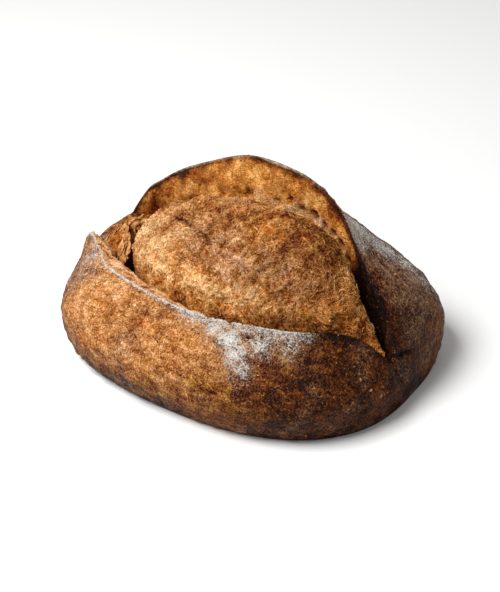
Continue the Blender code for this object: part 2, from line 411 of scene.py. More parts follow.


# %% [markdown]
# ## How far the crust is baked
# This loaf stood with its left end in the milder part of the oven. The crust goes
# from gold there through amber to dark brown at the right end. It is browner low
# down, partly from the hot stone and partly as painted shade, and along the score's two edges.

# %% Bake of the outer crust, with painted shade low down
LEFT_BAKE = 0.30  # 0 is pale dough and 1 is burnt; the rest is added to this one
RIGHT_BAKE = 0.62
HIGH_LAG = 0.95  # higher up, the right end's darkness starts further right
BACK_BAKE, BACK_PALING = 0.36, 0.19  # more at the back on the left, less on the right
MIDDLE_BAKE = 0.04  # a little more from the left end's middle onwards
STONE_BAKE_AND_SHADE, FOOT_BAKE_AND_SHADE = 0.54, 0.12  # darker low down, and in the last millimetres: partly the stone's baking, partly painted shade
TIP_BAKE = 0.26
RIM_BAKE, CREST_BAKE = 0.35, 0.40  # on the score's edges at the right
UNDER_RIM_BAKE = 0.14  # in a wider stretch below the rim, more to the left


def from_edge(point, edge):
    """Distance across the loaf from a point to the score's crest or rim."""
    crest, rim = trough(round(point.x, 4))[:2]
    return (Vector(crest if edge == "crest" else rim) - point.yz).length


def crust_bake(point):
    """How far the outer crust is baked at a point, with painted shade low down."""
    x, y, z = point
    right = rising(x - HIGH_LAG * max(0.0, z - 20 * MM), -28, 84)
    left, back = 1 - right, rising(y, 5, 60)
    bake = LEFT_BAKE + RIGHT_BAKE * right + BACK_BAKE * back * left - BACK_PALING * back * right
    bake += MIDDLE_BAKE * rising(x, -64, -24) * left
    # darker low down: partly the hot stone's baking, partly painted shade on the crust that turns away
    # from the light
    low = 0.75 * falling(z, 3, 38) + 0.25 * falling(z, 24, 54)
    bake += STONE_BAKE_AND_SHADE * low * max(0.0, 1 - 1.7 * right) + FOOT_BAKE_AND_SHADE * falling(z, 0, 9)
    bake += TIP_BAKE * rising(-x, 84, 114)
    rim, crest = from_edge(point, "rim"), from_edge(point, "crest")
    bake += RIM_BAKE * bell(rim, 2.5) * rising(x, 62, 74)
    bake += CREST_BAKE * bell(crest, 3.5) * rising(x, 60, 76)
    bake += UNDER_RIM_BAKE * bell(rim, 9) * rising(x, -40, 0) * left
    wander = 0.09 * grain(drawn(point, 0.30), 4, 9) + 0.05 * grain(point, 9, 4)
    wander += 0.08 * grain(drawn(point, 0.45), 24, 5)
    return bake + wander * (1 - 0.75 * right)


side_bakes = [crust_bake(Vector((x, -70, 30)) * MM) for x in (-80, 0, 80)]
print("bake of the front, from left to right:", [round(bake, 2) for bake in side_bakes])

# %% The crust's dull skin
# the value on the crest is a grey painted highlight
VEIL_BEHIND, VEIL_AT_TIP, CREST_HIGHLIGHT = 0.36, 0.50, 0.8
LEFT_TIP = Vector((-98, -34, 50)) * MM


def crust_veil(point):
    """The dull skin on the back at the right and round the left tip, and a grey painted highlight along
    the crest.
    """
    behind = rising(point.y, 0, 30) * rising(point.x, 20, 80) * rising(point.z, 36, 66)
    tip = falling((point - LEFT_TIP).length, 8, 40)
    # a grey painted highlight along the crest's left part
    edge = bell(from_edge(point, "crest"), 3) * falling(point.x, 40, 66)
    veil = VEIL_BEHIND * behind + VEIL_AT_TIP * tip + CREST_HIGHLIGHT * edge
    return clamp(veil + 0.12 * grain(point, 16, 12))


# %% Bake and painted shade of the ear's inner face
WALL_BAKE, WALL_CREST_BAKE = 0.30, 0.60
WALL_RIGHT_SHADE = 0.65  # painted shade where the score closes into a dark crevice
WALL_LEFT_BAKE = 0.20  # where the face is a deep orange
WALL_BLOTCHES = 0.34
WALL_FOOT_SHADE = 0.4  # painted shade down behind the bloom
WALL_SLIT_SHADE, FLAP_PALING = 0.42, 0.26  # painted shade in the slits and paler flaps, where the wall is torn to pieces at the left tip


def wall_bake(x, share, point):
    """Scorched at the crest and gold below it, with painted shade behind the bloom, in the torn slits at
    the left tip and where the score closes.
    """
    below = trough(x)[0][1] - point.z
    right = rising(x, -25, 45)
    bake = WALL_BAKE + 0.06 * right + WALL_CREST_BAKE * bell(below, mix(2.8, 5.5, right))
    bake += WALL_RIGHT_SHADE * rising(x, 66, 84) + 0.22 * exp(-below / (9 * MM))
    bake += WALL_LEFT_BAKE * rising(-x, 36, 62) * falling(-x, 80, 92)
    bake += WALL_BLOTCHES * max(0.0, grain(point, 10, 13)) * exp(-below / (24 * MM))
    bake += WALL_FOOT_SHADE * smooth_step(share, 0.32, 0.6)
    # painted shade in the slits between the torn flaps
    slits = smooth_step(ridge(drawn(point, y=0.25, z=0.35), 5, 21), 0.84, 0.97)
    bake += (WALL_SLIT_SHADE * slits - FLAP_PALING) * rising(-x, 84, 90)
    return bake + 0.16 * grain(drawn(point, z=0.4), 5, 2) + 0.18 * grain(point, 12, 8)


# %% [markdown]
# ## Where the flour lies
# The proving basket was dusted with flour. It stays on the crust where the dough
# touched the basket last: as a band below the rim, as a large blotch in the middle
# of the front, as a veil on the back of the ear and in a few smudges.

# %% Flour on the outer crust
FLOUR_SPOTS = [  # x, y, radius in millimetres, and amount
    (34, -61, 8, 1.1), (42, -67, 8, 1.0), (50, -73, 7, 0.6), (22, -58, 8, 0.9),
    (52, -56, 9, 0.7), (66, -47, 9, 0.5), (-96, -30, 12, 0.5), (-90, -46, 11, 0.34),
    (50, 36, 12, 1.0), (62, 40, 14, 1.0), (75, 49, 15, 0.85), (90, 56, 13, 0.7),
    (102, 58, 11, 0.55), (68, 26, 11, 0.8), (-30, -85, 12, 0.16), (20, 84, 26, 0.4),
    (-60, 70, 30, 0.45),
]
FOOT_FLOUR, LOOSE_FLOUR, BAND_FLOUR, RIM_FLOUR, CREST_FLOUR = 0.35, 0.12, 0.74, 0.95, 0.34
FLOUR_BAND = 9  # width in millimetres of the band below the rim, less towards the left
DRIED_EDGE = 2  # and of the dusty line on each of the score's edges


def crust_flour(point, zone):
    """Share of flour on a point of the outer crust."""
    if "underside" in zone:
        return FOOT_FLOUR
    amounts = [LOOSE_FLOUR * smooth_step(grain(point, 22, 31)) * falling(point.x, 20, 70)]
    amounts += soft_spots(point.xy, FLOUR_SPOTS)
    if zone == "front":
        below_rim = score_edges(round(point.x, 4))[1] - point.y
        band = bell(below_rim, FLOUR_BAND * mix(0.40, 1.0, rising(point.x, -20, 18)))
        amounts.append(BAND_FLOUR * band * rising(point.x, -44, 0) * falling(point.x, 66, 84))
        line = bell(from_edge(point, "rim"), DRIED_EDGE)
        amounts.append(RIM_FLOUR * line * falling(point.x, 60, 78))
    if zone == "back":
        line = bell(from_edge(point, "crest"), DRIED_EDGE)
        amounts.append(CREST_FLOUR * line * falling(point.x, 30, 64))
    return max(amounts)


print("flour in the blotch:", round(crust_flour(Vector((38, -64, 55)) * MM, "front"), 2))

# %% [markdown]
# ## The relief of the crust
# A baked crust is never smooth. It has broad swellings where gas gathered, lumps of
# the size of a fingertip, and a fine roughness of blisters. The same few layers of
# noise, from coarse to fine, give all of them, and the flat foot is left flat.

# %% Relief of the outer crust
SWELLING = 0.9 * MM
LUMPS = 0.55 * MM
BLISTERS = 0.40 * MM
ROUGHNESS = 0.24 * MM
EDGE_BUMPS = 0.9 * MM  # the crust is ragged where it met the stone
CRACKS = [  # ends and depth in millimetres; the 4th is a ridge, so its depth is below 0
    ((112, -7, 40), (116, 0, 38.5), 2.2), ((116, 0, 38.5), (119, 8, 36.5), 2.4),
    ((98, 8, 65), (108, 12, 56), 0.6),
    ((-14, -74, 51), (25, -78, 44), -0.7), ((-14, -73, 54), (25, -77, 47), 0.3),
    ((42.5, -54, 57.5), (43.5, -55, 57), 2.0),
]
CRACK_WIDTH, CRACK_WANDER = 1.3, 1.3  # in millimetres


def crust_relief(point):
    height = SWELLING * grain(point, 36, 1) + LUMPS * grain(point, 11, 2)
    height += EDGE_BUMPS * grain(point, 5, 17) * falling(point.z, 8, 24)
    height += BLISTERS * grain(point, 4.2, 3) + ROUGHNESS * grain(point, 2.1, 4)
    return height * rising(point.z, 0, 5)


def crack_depth(point):
    """Depth in millimetres of the cracks at a point of the outer crust."""
    wander = CRACK_WANDER * MM * abs(grain(point, 4, 8))
    return sum(depth * bell(off_line(point, start, end)[0] + wander, CRACK_WIDTH)
               for start, end, depth in CRACKS)


# %% Relief of the torn crust
PORE_SHADE = 0.13  # painted shade: a pore is this much darker per millimetre of its depth
PORE_START = 0.8  # once it is this deep
STRANDS = 0.7 * MM
DENTS = 1.2 * MM
PORES = [  # x, share of the way down the wall, radius and depth in millimetres
    (30, 0.25, 3.2, 2.5), (40, 0.235, 4.2, 4.0), (48, 0.25, 3.2, 3.5), (55, 0.235, 3.0, 3.0),
    (61, 0.255, 3.8, 4.0), (68, 0.29, 3.2, 3.5), (75, 0.34, 3.4, 3.0), (-12, 0.27, 4.0, 2.0),
    (10, 0.27, 3.0, 2.0), (20, 0.22, 2.4, 2.0),
]
WALL_DEPTH = 90  # about the height of the wall in millimetres, most of it behind the bloom


def strip_relief(point):
    """The torn strip inside the rim: fibres that run along it."""
    return 1.3 * MM * (ridge(drawn(point, 0.35), 2.8, 2) - 0.5) + 0.7 * MM * grain(point, 5, 3)


def torn_relief(x, share, point):
    """Height of the torn face: strands that run up it, dents, and pores near its foot."""
    strand = drawn(point, z=0.35)
    height = STRANDS * (grain(strand, 8, 6) + 0.6 * grain(strand, 3, 7))
    height += DENTS * grain(point, 15, 11) + ROUGHNESS * grain(point, 1.8, 3)
    for pore_x, pore_share, radius, depth in PORES:
        away = Vector((x / MM - pore_x, WALL_DEPTH * (share - pore_share))).length / radius
        away *= 1 + 0.35 * grain(point, 3, pore_x)
        height -= depth * MM * (1 - smooth_step(away, 0.45, 1.0))
    return height


print(len(CRACKS), "cracks and", len(PORES), "pores")

# %% Build the crust
def shape_crust(bm):
    """Moves the sphere's points on to the loaf and remembers each one's place."""
    places = []
    for vertex in bm.verts:
        x = LOAF_LENGTH / 2 * ring_place(round(vertex.co.x, 5))
        zone, share = STEPS[step_round(vertex, len(STEPS))]
        if vertex.co.y ** 2 + vertex.co.z ** 2 < 1e-9:  # a pole
            y, z = spine(x), BELLY_HEIGHT / 2
        else:
            y, z = section_point(x, zone, share)
        under = max(0.0, 1 - z / BELLY_HEIGHT)
        tuck = END_TUCK_LEFT if x < 0 else END_TUCK_RIGHT
        vertex.co = (x * (1 - tuck * under**2), y, z)
        places.append((x, zone, share))
    return places


crust_mesh = carry(long_sphere(len(STEPS), CRUST_RINGS))
crust_places = shape_crust(crust_mesh)
crust_mesh.normal_update()
ys = [vertex.co.y for vertex in crust_mesh.verts]
FOOTPRINT_SHIFT = -(min(ys) + max(ys)) / 2  # the origin is the middle of the footprint
print(len(crust_mesh.verts), "points, moved by", round(1000 * FOOTPRINT_SHIFT, 2), "mm")


# %% What each point of the crust gets
TORN_ZONES = ("wall", "trough", "lip")
SHALLOWEST = 1 * MM  # a score less deep than this is crust like the rest
UNDER_FLOUR = 0.30  # floured crust is baked this much darker between the grains
CRACK_SHADE = 0.6  # painted shade: cracked crust is this much darker per millimetre of the crack's depth
STRIP_BAKE = 0.29
WALL_VEIL, STRIP_VEIL, FLOUR_VEIL = 0.6, 0.55, 0.7
CREVICE_SHADE = 0.9
# painted shade: a hollow this deep below the crust's surface gets a full pit value
PIT_DEPTH = 1.2 * MM


def is_torn(x, zone):
    return zone in TORN_ZONES and along_cut("trough drop", x) > SHALLOWEST


def torn_crust(x, zone, share, point):
    """(height, bake, flour, veil) of the ear's face or the strip inside the rim."""
    if zone == "lip":
        height = strip_relief(point) * smooth_step(1 - share, 0, 0.15)
        # raised fibres are paler and low ones darker: painted light and shade
        bake = STRIP_BAKE + 0.65 * rising(x, 34, 56) - 0.16 * height / MM
        return height, bake, 0.0, STRIP_VEIL * falling(x, 40, 60)
    depth = share**WALL_GATHERING if zone == "wall" else 1.0
    height = torn_relief(x, depth, point) * smooth_step(depth, 0, 0.03)
    # painted shade in the pores
    pore_shade = PORE_SHADE * max(0.0, -height / MM - PORE_START)
    foot_veil = smooth_step(depth, 0.18, 0.24) * smooth_step(0.7 + grain(point, 9, 7))
    foot_veil *= rising(x, -20, 10) * falling(x, 60, 74)
    # a grey painted highlight along the crest, on the wall's top row
    painted_crest_highlight = (1 - smooth_step(depth, 0.01, 0.02)) * falling(x, 20, 50)
    return height, wall_bake(x, depth, point) + pore_shade, 0.0, WALL_VEIL * max(foot_veil, painted_crest_highlight)


def whole_crust(zone, point):
    """(height, bake, flour, veil) of the outer crust."""
    crack = crack_depth(point)
    flour = crust_flour(point, zone) * (1 - clamp(crack))
    # painted shade in the cracks
    bake, veil = crust_bake(point) + CRACK_SHADE * crack, crust_veil(point)
    if zone == "front":
        bake, veil = bake + UNDER_FLOUR * flour, max(veil, FLOUR_VEIL * flour)
    return crust_relief(point) - crack * MM, bake, flour, veil


def settle(bm, moves):
    """Moves each point by its own step, and all of them on to the loaf's footprint."""
    for vertex, move in zip(bm.verts, moves):
        vertex.co += move
        vertex.co.y += FOOTPRINT_SHIFT
        vertex.co.z = max(0.0, vertex.co.z)


# %% Give the crust its relief and its values
moves = []
for vertex, (x, zone, share) in zip(crust_mesh.verts, crust_places):
    if is_torn(x, zone):
        height, bake, flour, veil = torn_crust(x, zone, share, vertex.co)
    else:
        height, bake, flour, veil = whole_crust(zone, vertex.co)
    # the pit value paints shade in the crevice where the score closes and in the low spots of the relief
    shade = CREVICE_SHADE * rising(x, 66, 84) if zone in TORN_ZONES else 0.0
    store(crust_mesh, vertex, bake=bake, flour=flour, pit=shade - height / PIT_DEPTH, veil=veil)
    moves.append(vertex.normal * height)
settle(crust_mesh, moves)
print("the relief is at most", round(1000 * max(move.length for move in moves), 1), "mm")

# %% A function that turns a bmesh into a piece
def new_object(name, bm, materials):
    """An object at the origin, with its place in its mesh."""
    mesh = bpy.data.meshes.new(name)
    bm.to_mesh(mesh)
    bm.free()
    for material in materials:
        mesh.materials.append(material)
    piece = bpy.data.objects.new(name, mesh)
    bpy.context.scene.collection.objects.link(piece)
    return piece


def make_piece(name, bm, materials):
    """A smooth piece that rides on the loaf's body."""
    bmesh.ops.recalc_face_normals(bm, faces=bm.faces)
    piece = new_object(name, bm, materials)
    piece.data.shade_smooth()
    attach(piece, "root")
    piece.data.calc_loop_triangles()
    print(name, "has", len(piece.data.loop_triangles), "triangles")
    return piece


# %% [markdown]
# ## The bloom
# The inner dough rises through the score as one dome, with its ridge nearer to the
# ear. It is a separate sphere, pressed into the outline of the score. Its skin tore
# again and again while it rose, so its relief is coarser than the crust's: folds,
# cracks, and thin plates that overlap like scales.

# %% Sizes of the bloom
BLOOM_LEFT = -80 * MM
BLOOM_RIGHT = 111 * MM
BLOOM_BASE = 40 * MM
BLOOM_FULLNESS = 2.7
BLOOM_SKEW = 11 * MM  # its ridge lies this far behind its middle
BLOOM_GAP = 6 * MM  # between its back and the ear, at most,
GAP_SHARE = 0.06  # and as a share of the score's width,
CREVICE = 5.5 * MM  # but this wide where the score closes at the right
LIP_OVERLAP = 1.5 * MM  # its front reaches this far into the front crust
CRAG_HEIGHT = 3.2 * MM
CRAG_LENGTH = 24 * MM
BLOOM_LIFT = 0.4 * MM  # all of its torn skin is raised this much
BLOOM_RINGS = 300
BLOOM_ABOVE, BLOOM_BELOW = 196, 60  # points round each ring above and below its widest line


def bloom_point(x, t, angle):
    """A point of the bloom, where t runs along it from -1 to 1 and angle round it."""
    size = superellipse(t, BLOOM_FULLNESS)
    across, level = cos(angle), signed_power(sin(angle), 0.9)
    crest, rim = score_edges(x)
    gap = mix(GAP_SHARE * (crest - rim), CREVICE, rising(x, 66, 92))
    back_edge = crest - min(BLOOM_GAP, gap)
    front_edge = rim - LIP_OVERLAP + 1.25 * along_cut("lip strip", x)
    y = (back_edge + front_edge) / 2 + across * size * (back_edge - front_edge) / 2
    rise = max(0.0, level) * size
    y += BLOOM_SKEW * rise * rise * (back_edge - front_edge) / (80 * MM)
    z = BLOOM_BASE + level * size * 15 * MM
    if level > 0:
        z = BLOOM_BASE + rise * (along_cut("bloom top", x) - BLOOM_BASE)
    crag = noise.noise(Vector((x, y, z)) / CRAG_LENGTH)
    return Vector((x, y, z + CRAG_HEIGHT * crag * rise)), rise


# %% Relief of the torn dough
PLATE_STEP = 1.4 * MM
FOLD_HEIGHT = 2.3 * MM
FIBRE_HEIGHT = 0.40 * MM
CREASE_TOP, CREASE_CUT = 2.2 * MM, 1.6 * MM  # how far a crease stands up, and is cut beside it
CREASE_SHADE = Vector((-1.6, 2.0, 0)) * MM  # from a crease's dark side to its top
CREASES = [  # ends in plan, in millimetres, of the sharp folds over the top, and their strength
    ((-50, -8), (5, -30), 0.8), ((5, -30), (36, -36), 0.75), ((30, -39), (46, -24), 0.35),
    ((-30, 2), (-44, -22), 0.35), ((2, -4), (-10, -22), 0.35),
]


def plates(point, size, seed):
    """Overlapping plates: a slope that falls back to 0 at each torn edge."""
    size *= MM
    field = 2.5 * noise.noise(point / size + Vector((seed, seed, seed)))
    field += 0.5 * noise.noise(point / (0.3 * size) + Vector((seed, 0, 0)))
    return (field % 1.0) - 0.5


def crease(point, width):
    """How strong the creases are at a point: their strength on them, 0 away from them."""
    best = 0.0
    wander = 0.9 * MM * abs(grain(point, 7, 6))
    for start, end, strength in CREASES:
        away, share = off_line(point.xy, start, end)
        best = max(best, strength * bell(away + wander, width) * sin(pi * mix(0.15, 0.85, share)))
    return best


def fibres(point):
    """Curled threads of torn dough, about a millimetre thick."""
    curled = point + noise.noise_vector(point / (3.5 * MM)) * 1.6 * MM
    return ridge(curled, 3.2, 12) - 0.5 + 0.6 * (ridge(curled, 1.9, 15) - 0.5)


def bloom_relief(point):
    """(coarse height, fine height) of the torn skin."""
    calm = rising(point.x, 5, 65)
    folded = point + Vector((1, 1, 1)) * 4 * MM * noise.noise(point / (20 * MM))
    coarse = FOLD_HEIGHT * (ridge(folded, 15, 4) - 0.55) + 0.6 * MM * ridge(folded, 6, 9)
    coarse += PLATE_STEP * (plates(folded, 12, 3) + 0.5 * plates(folded, 5, 7))
    coarse = coarse * (1 - 0.6 * calm) + CREASE_TOP * crease(point, 1.4)
    coarse -= CREASE_CUT * crease(point + CREASE_SHADE, 1.2)
    coarse += 1.3 * MM * grain(point, 7, 22) * calm * falling(point.z, 66, 84)
    return coarse, FIBRE_HEIGHT * fibres(point) + 0.15 * MM * grain(point, 1.4, 6)


fold, fibre = bloom_relief(Vector((0, -20, 100)) * MM)
print("at one point the folds give", round(1000 * fold, 2), "mm, the fibres", round(1000 * fibre, 2))

# %% Bake, painted shade and skin of the bloom
BLOOM_BAKE = 0.28
TOP_BAKE, RIGHT_END_BAKE = 0.18, 0.21  # how much more it is baked there
# painted shade: beside each crease, in the crevice next to the ear at the right, and in a band just above
# the rim
CREASE_SHADOW, EAR_SIDE_SHADE, ABOVE_RIM_SHADE = 0.45, 0.6, 0.20
RELIEF_PAINTED_LIGHT = 0.04  # painted light and shade: this much less baked per millimetre that its coarse relief stands up
BLOOM_TINTS = [  # x, y, z, radius in millimetres, and how much more it is baked there
    (6, -46, 74, 16, -0.18), (24, -45, 78, 13, -0.10), (-42, -30, 72, 22, -0.26),
    (-70, -5, 70, 18, -0.10), (-14, -47, 61, 12, 0.20), (17, -50, 60, 14, 0.20),
    (45, -44, 60, 16, 0.10), (36, -12, 108, 9, -0.16), (5, -14, 103, 18, 0.06),
    (58, -2, 104, 20, 0.08), (-20, -38, 78, 9, 0.12), (20, -6, 108, 8, 0.14),
]
BLOOM_SKIN = [  # x, y, z, radius and amount of dull skin
    (-45, -12, 84, 16, 0.6), (-14, -26, 94, 17, 0.6), (14, -31, 91, 17, 0.6),
    (36, -32, 88, 16, 0.5), (60, -28, 84, 16, 0.3), (2, 2, 107, 12, 0.3),
]


def bloom_bake(point, height, angle):
    """Darker on top, with painted shade beside the creases, next to the ear at the right and above the
    rim, and paler where its relief stands up as painted light.
    """
    bake = BLOOM_BAKE + TOP_BAKE * rising(point.z, 70, 108)
    bake += RIGHT_END_BAKE * rising(point.x, 10, 90) + sum(soft_spots(point, BLOOM_TINTS))
    bake += 0.14 * grain(point, 14, 2) + 0.12 * grain(point, 5, 4)
    bake += CREASE_SHADOW * crease(point + CREASE_SHADE, 1.1)
    bake += EAR_SIDE_SHADE * smooth_step(cos(angle), 0.70, 0.92) * rising(point.x, 40, 66)
    bake += ABOVE_RIM_SHADE * smooth_step(-cos(angle), 0.86, 0.99)
    return bake - RELIEF_PAINTED_LIGHT * height / MM


def bloom_veil(point):
    return sum(soft_spots(point, BLOOM_SKIN)) * (1 + 0.5 * grain(point, 9, 14))


print("dull skin on the bloom's left:", round(bloom_veil(Vector((-45, -12, 84)) * MM), 2))

# %% Build the bloom
def shape_bloom(bm):
    """Moves the sphere's points on to the bloom; returns each one's rise and angle."""
    places = []
    for vertex in bm.verts:
        t = round(vertex.co.x, 5)
        place = mix(t, 1 - 2 * acos(t) / pi, 0.5)
        x = round(mix(BLOOM_LEFT, BLOOM_RIGHT, (place + 1) / 2), 7)
        step = step_round(vertex, BLOOM_ABOVE + BLOOM_BELOW) - BLOOM_BELOW / 2
        angle = pi * step / BLOOM_ABOVE
        if step < 0:
            angle = pi * step / BLOOM_BELOW
        elif step > BLOOM_ABOVE:
            angle = pi + pi * (step - BLOOM_ABOVE) / BLOOM_BELOW
        vertex.co, rise = bloom_point(x, place, angle)
        places.append((rise, angle))
    return places


bloom_mesh = carry(long_sphere(BLOOM_ABOVE + BLOOM_BELOW, BLOOM_RINGS))
bloom_places = shape_bloom(bloom_mesh)
bloom_mesh.normal_update()
moves = []
for vertex, (rise, angle) in zip(bloom_mesh.verts, bloom_places):
    point = vertex.co
    coarse, fine = bloom_relief(point)
    # painted shade in the low spots of the fibres and folds
    pit = 0.5 - fine / MM - coarse / (6 * MM)
    store(bloom_mesh, vertex, bake=bloom_bake(point, coarse, angle), pit=pit, veil=bloom_veil(point))
    moves.append(vertex.normal * (coarse + fine + BLOOM_LIFT) * smooth_step(rise, 0.02, 0.3))
settle(bloom_mesh, moves)
print("the bloom reaches", round(1000 * max(vertex.co.z for vertex in bloom_mesh.verts)), "mm")

# %% [markdown]
# ## The torn leaves
# At the left end the score tore into thin leaves of dough, which lie over each other
# like shingles. Each is a sphere pressed flat and curled, with a tattered edge.

# %% Build the torn leaves
LEAVES = [  # middle, length by width by thickness in millimetres, tilt in degrees, and bake
    ((-105, 0, 49), (12, 22, 3.5), (8, -34, 6), 0.24),
    ((-99, -3, 50), (12, 30, 3.5), (10, -34, 14), 0.28),
    ((-92, -6, 51), (13, 34, 3.5), (12, -34, 22), 0.34),
    ((-85, -12, 51), (12, 34, 3.5), (10, -32, 28), 0.28),
    ((-86, 10, 58), (22, 18, 8), (-20, 14, -30), 0.30),
]
TEAR_STEP = 1.8 * MM  # each leaf is torn in steps this high, with painted shade in the slits between them
# painted shade in the slits, and a painted highlight on each step's raised edge
SLIT_SHADE, STEP_HIGHLIGHT = 0.46, 0.14
LEAF_CURL = 1.5
LEAF_TATTER = 0.4
LEAF_VEIL = 0.22
LEAF_STEPS, LEAF_RINGS = 96, 64


def add_leaf(target, centre, size, tilt, leaf_bake):
    """Adds one leaf to the target bmesh."""
    leaf = carry(long_sphere(LEAF_STEPS, LEAF_RINGS))
    turn = Euler([radians(angle) for angle in tilt]).to_matrix()
    leaf.normal_update()
    for vertex in leaf.verts:
        t, back, up = vertex.co
        curl = LEAF_CURL * (t * t + back * back)
        curled = Vector((t * size[0] / 2, back * size[1] / 2, up * size[2] / 2 + curl))
        curled *= 1 + LEAF_TATTER * noise.noise(curled * 0.25 + Vector(centre))
        point = turn @ (curled * MM) + Vector(centre) * MM
        streaked = drawn(point, y=0.3, z=0.6)
        tear = (1.1 * t + 0.9 * noise.noise(streaked / (8 * MM)) + 0.3 * back + 0.6) % 1.0
        height = TEAR_STEP * (tear - 0.5) + 0.5 * MM * grain(streaked, 1.6, 5)
        vertex.co = point + UP * height * signed_power(up, 0.5) + Vector((0, FOOTPRINT_SHIFT, 0))
        # painted shade at the foot of each step and in its low spots, a painted highlight on its raised
        # edge
        bake = leaf_bake + SLIT_SHADE * (1 - smooth_step(tear, 0.05, 0.30))
        bake += 0.16 * grain(point, 6, 3) - STEP_HIGHLIGHT * smooth_step(tear, 0.70, 0.95)
        store(leaf, vertex, bake=bake, pit=0.4 - height / (2 * MM), veil=LEAF_VEIL)
    mesh = bpy.data.meshes.new("leaf")
    leaf.to_mesh(mesh)
    leaf.free()
    target.from_mesh(mesh)
    bpy.data.meshes.remove(mesh)


leaves_mesh = carry(bmesh.new())
for leaf_sizes in LEAVES:
    add_leaf(leaves_mesh, *leaf_sizes)
print(len(LEAVES), "leaves with", len(leaves_mesh.verts), "points")

# %% [markdown]
# ## Finishes
# Three finishes share the same effects, so each effect is a node group with named
# inputs: the colour of baking, a mottle of fine grains, a shift of tone, and a dust
# of flour.

# %% Helpers for shader nodes
COLOUR, FLOAT, VECTOR = "NodeSocketColor", "NodeSocketFloat", "NodeSocketVector"


def new_group(name, inputs, outputs):
    """A shader node group with those sockets, what comes in, and the node for what goes out."""
    group = bpy.data.node_groups.new(name, "ShaderNodeTree")
    for label, kind, value in inputs:
        socket = group.interface.new_socket(name=label, in_out="INPUT", socket_type=kind)
        socket.default_value = (*value, 1) if kind == COLOUR else value
    for label, kind in outputs:
        group.interface.new_socket(name=label, in_out="OUTPUT", socket_type=kind)
    inside = group.nodes.new("NodeGroupInput")
    return group, inside.outputs, group.nodes.new("NodeGroupOutput")


def plug(tree, node, socket, source):
    """Sets a node's input from a link, a number, a vector or a colour."""
    target = node.inputs[socket]
    if isinstance(source, bpy.types.NodeSocket):
        tree.links.new(source, target)
    else:
        target.default_value = (*source, 1) if target.type == "RGBA" else source


def add_node(tree, kind, sources, **settings):
    """Adds a shader node, sets it, plugs its inputs in, and returns its outputs."""
    node = tree.nodes.new("ShaderNode" + kind)
    for name, value in settings.items():
        setattr(node, name, value)
    for socket, source in sources.items():
        plug(tree, node, socket, source)
    return node.outputs


def math_node(tree, operation, a, b=0.0, c=0.0, clamped=False):
    sources = {0: a, 1: b, 2: c}
    return add_node(tree, "Math", sources, operation=operation, use_clamp=clamped)[0]


def vector_node(tree, operation, a, b):
    return add_node(tree, "VectorMath", {0: a, 1: b}, operation=operation)[0]


def mix_colours(tree, share, first, second, blend="MIX"):
    sources = {0: share, 6: first, 7: second}
    return add_node(tree, "Mix", sources, data_type="RGBA", blend_type=blend)[2]


def map_range(tree, value, low, high, to_low=0.0, to_high=1.0):
    sources = dict(enumerate((value, low, high, to_low, to_high)))
    return add_node(tree, "MapRange", sources)[0]


def noise_node(tree, place, scale, detail=2.0, roughness=0.5, warp=0.0):
    sources = {"Vector": place, "Scale": scale, "Detail": detail, "Roughness": roughness}
    return add_node(tree, "TexNoise", {**sources, "Distortion": warp})[0]


# %% The colour of baking
WHITE, BLACK = (1, 1, 1), (0, 0, 0)
TONES = ("Pale", "Gold", "Brown", "Burnt")


def build_baking():
    """Pale dough goes gold, brown and at last black as its baking, with any painted shade, goes from 0 to
    1.
    """
    inputs = [("Bake", FLOAT, 0.5)] + [(tone, COLOUR, WHITE) for tone in TONES[:3]]
    inputs.append((TONES[3], COLOUR, BLACK))
    group, inside, outside = new_group("baked colour", inputs, [("Color", COLOUR)])
    colour = inside[TONES[0]]
    for tone, start, end in zip(TONES[1:], (0.0, 0.33, 0.66), (0.33, 0.66, 1.0)):
        share = map_range(group, inside["Bake"], start, end)
        colour = mix_colours(group, share, colour, inside[tone])
    plug(group, outside, "Color", colour)
    return group


BAKING = build_baking()
print("node group:", BAKING.name)

# %% Patterns from noise nodes
def centred(tree, value, steepness=2.5):
    """Noise from 0 to 1 as a pattern round 0 that mostly stays between -1 and 1."""
    return math_node(tree, "MULTIPLY_ADD", value, 2 * steepness, -steepness)


def threads(tree, value, thinness=7.0):
    """The middle line of a noise's hills and valleys as light threads, from 1 down to -1."""
    away = math_node(tree, "ABSOLUTE", math_node(tree, "SUBTRACT", value, 0.5))
    return math_node(tree, "MULTIPLY_ADD", away, -thinness, 1.0)


def weighted(tree, *pairs):
    """The sum of several patterns, each times its weight."""
    total = 0.0
    for value, weight in pairs:
        total = math_node(tree, "MULTIPLY_ADD", value, weight, total)
    return total


# %% A mottle of grains
SPECK_SCALE = 330  # cells per metre, each with room for one speck or fleck
RAREST = (("Specks", 0.84), ("Flecks", 0.91))  # the share of cells without one


